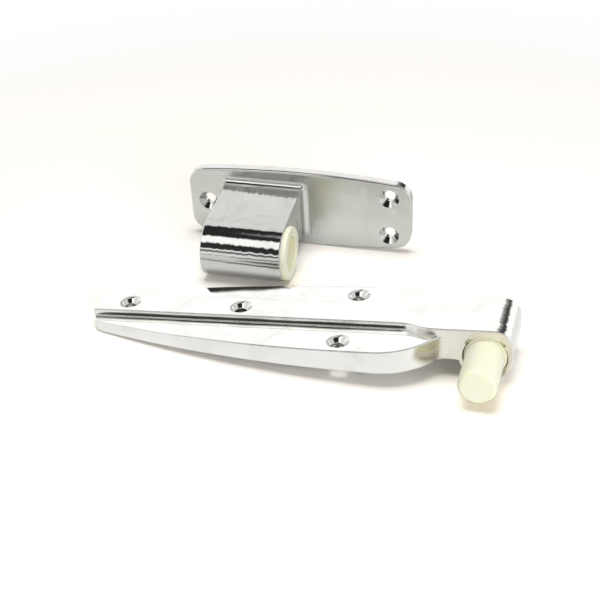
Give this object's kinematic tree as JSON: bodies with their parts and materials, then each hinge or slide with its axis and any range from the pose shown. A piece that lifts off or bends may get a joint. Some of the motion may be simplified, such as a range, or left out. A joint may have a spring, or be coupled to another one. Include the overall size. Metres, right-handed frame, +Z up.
{
  "type": "lift-off strap hinge",
  "caption": "Chromed lift-off strap hinge for a cold room or refrigerator door, shown apart: strap with nylon pin in front, flange with nylon bush behind.",
  "frame": {"origin": "on the table under the middle of the two halves' bounding box", "axes": "+X from the strap's tip towards its barrel, +Y from the pin's free end towards the flange, +Z up"},
  "size_m": [0.235, 0.1584, 0.0507],
  "materials": {
    "chrome": "bright polished chrome plate on a zinc die casting",
    "nylon": "natural nylon, slightly translucent, off-white"
  },
  "bodies": {
    "flange_half": {"flange": "chrome", "flange_bush": "nylon"},
    "strap_half": {"strap": "chrome", "hinge_pin": "nylon"}
  },
  "joints": [
    {"name": "strap_swing", "type": "hinge", "parent": "flange_half", "child": "strap_half", "pos_m": [0.10312, -0.03667, 0.0144], "axis": [0, 1, 0], "range_deg": [0, 110]}
  ]
}
